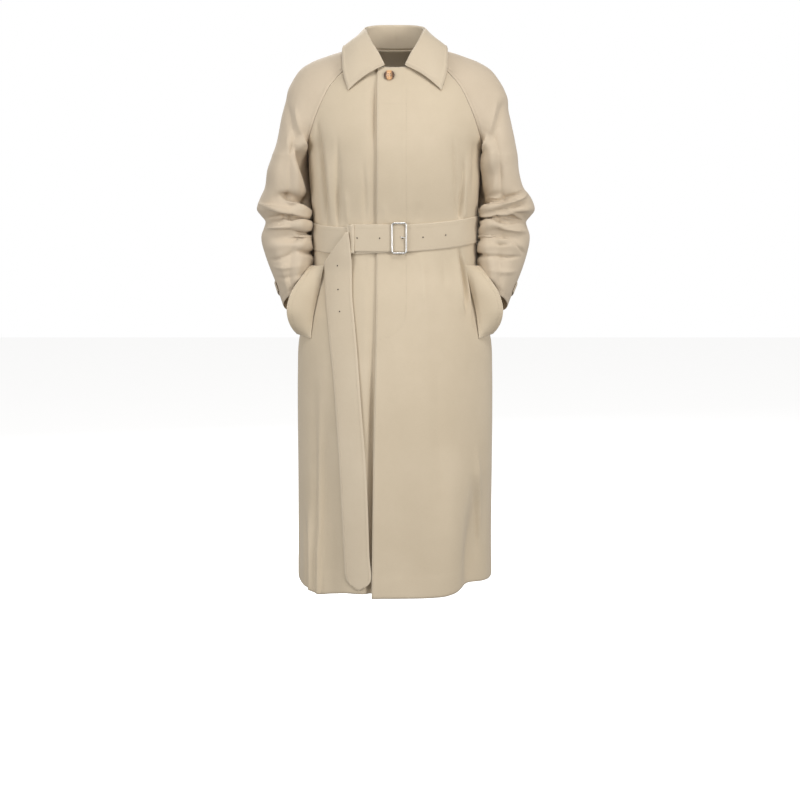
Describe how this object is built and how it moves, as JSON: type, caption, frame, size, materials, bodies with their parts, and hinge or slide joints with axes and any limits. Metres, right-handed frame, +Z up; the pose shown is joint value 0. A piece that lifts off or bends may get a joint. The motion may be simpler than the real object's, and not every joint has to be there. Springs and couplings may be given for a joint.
{
  "type": "belted raglan coat",
  "caption": "Long single-breasted raglan coat with a turn-down collar, covered fly, slanted welt pockets and a buckled belt, worn hollow.",
  "frame": {"origin": "the middle of the neck opening at its base, where the coat is carried on the shoulders", "axes": "+Z up, the front faces -Y, +X towards the wearer's left sleeve"},
  "size_m": [0.6016, 0.3914, 1.2202],
  "materials": {
    "body_cloth": "smooth tightly woven cotton gabardine, matt with a faint sheen",
    "sleeve_cloth": "smooth tightly woven cotton gabardine, creased at the elbows",
    "collar_cloth": "doubled cotton gabardine, top-stitched",
    "belt_cloth": "doubled cotton gabardine, edge-stitched",
    "buckle_metal": "polished nickel plate",
    "horn": "mottled horn, semi-gloss"
  },
  "bodies": {
    "root": {"front_left": "body_cloth", "front_right": "body_cloth", "back": "body_cloth", "sleeve_left": "sleeve_cloth", "sleeve_right": "sleeve_cloth", "collar_fall": "collar_cloth", "collar_stand": "collar_cloth", "pocket_welt_left": "body_cloth", "pocket_welt_right": "body_cloth", "belt_waist": "belt_cloth", "belt_hitch": "belt_cloth", "belt_tail": "belt_cloth", "belt_loop_left": "belt_cloth", "belt_loop_right": "belt_cloth", "buckle_frame": "buckle_metal", "buckle_prong": "buckle_metal", "top_button": "horn", "cuff_tab_left": "sleeve_cloth", "cuff_tab_right": "sleeve_cloth", "cuff_button_left": "horn", "cuff_button_right": "horn"}
  },
  "joints": []
}
